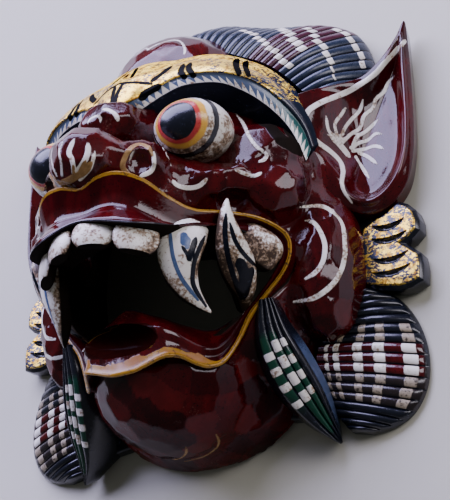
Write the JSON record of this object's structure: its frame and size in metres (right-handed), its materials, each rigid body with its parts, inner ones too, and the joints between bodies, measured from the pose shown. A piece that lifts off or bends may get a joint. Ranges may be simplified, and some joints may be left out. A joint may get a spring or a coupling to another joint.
{
  "type": "barong mask",
  "caption": "Carved wooden barong mask with bulging eyes, an open fanged mouth, tall pointed ears and ribbed hair fans, hollow behind with a flat rim.",
  "frame": {"origin": "middle of the overall length and width, in the plane of the flat back rim", "axes": "+Z out of the face, +Y toward the crown, +X toward the right of someone looking at the face"},
  "size_m": [0.2554, 0.2554, 0.1349],
  "materials": {
    "carved_wood": "glossy maroon lacquer with gold leaf, white enamel and black and green paint, worn"
  },
  "bodies": {
    "root": {"barong_mask": "carved_wood"}
  },
  "joints": []
}
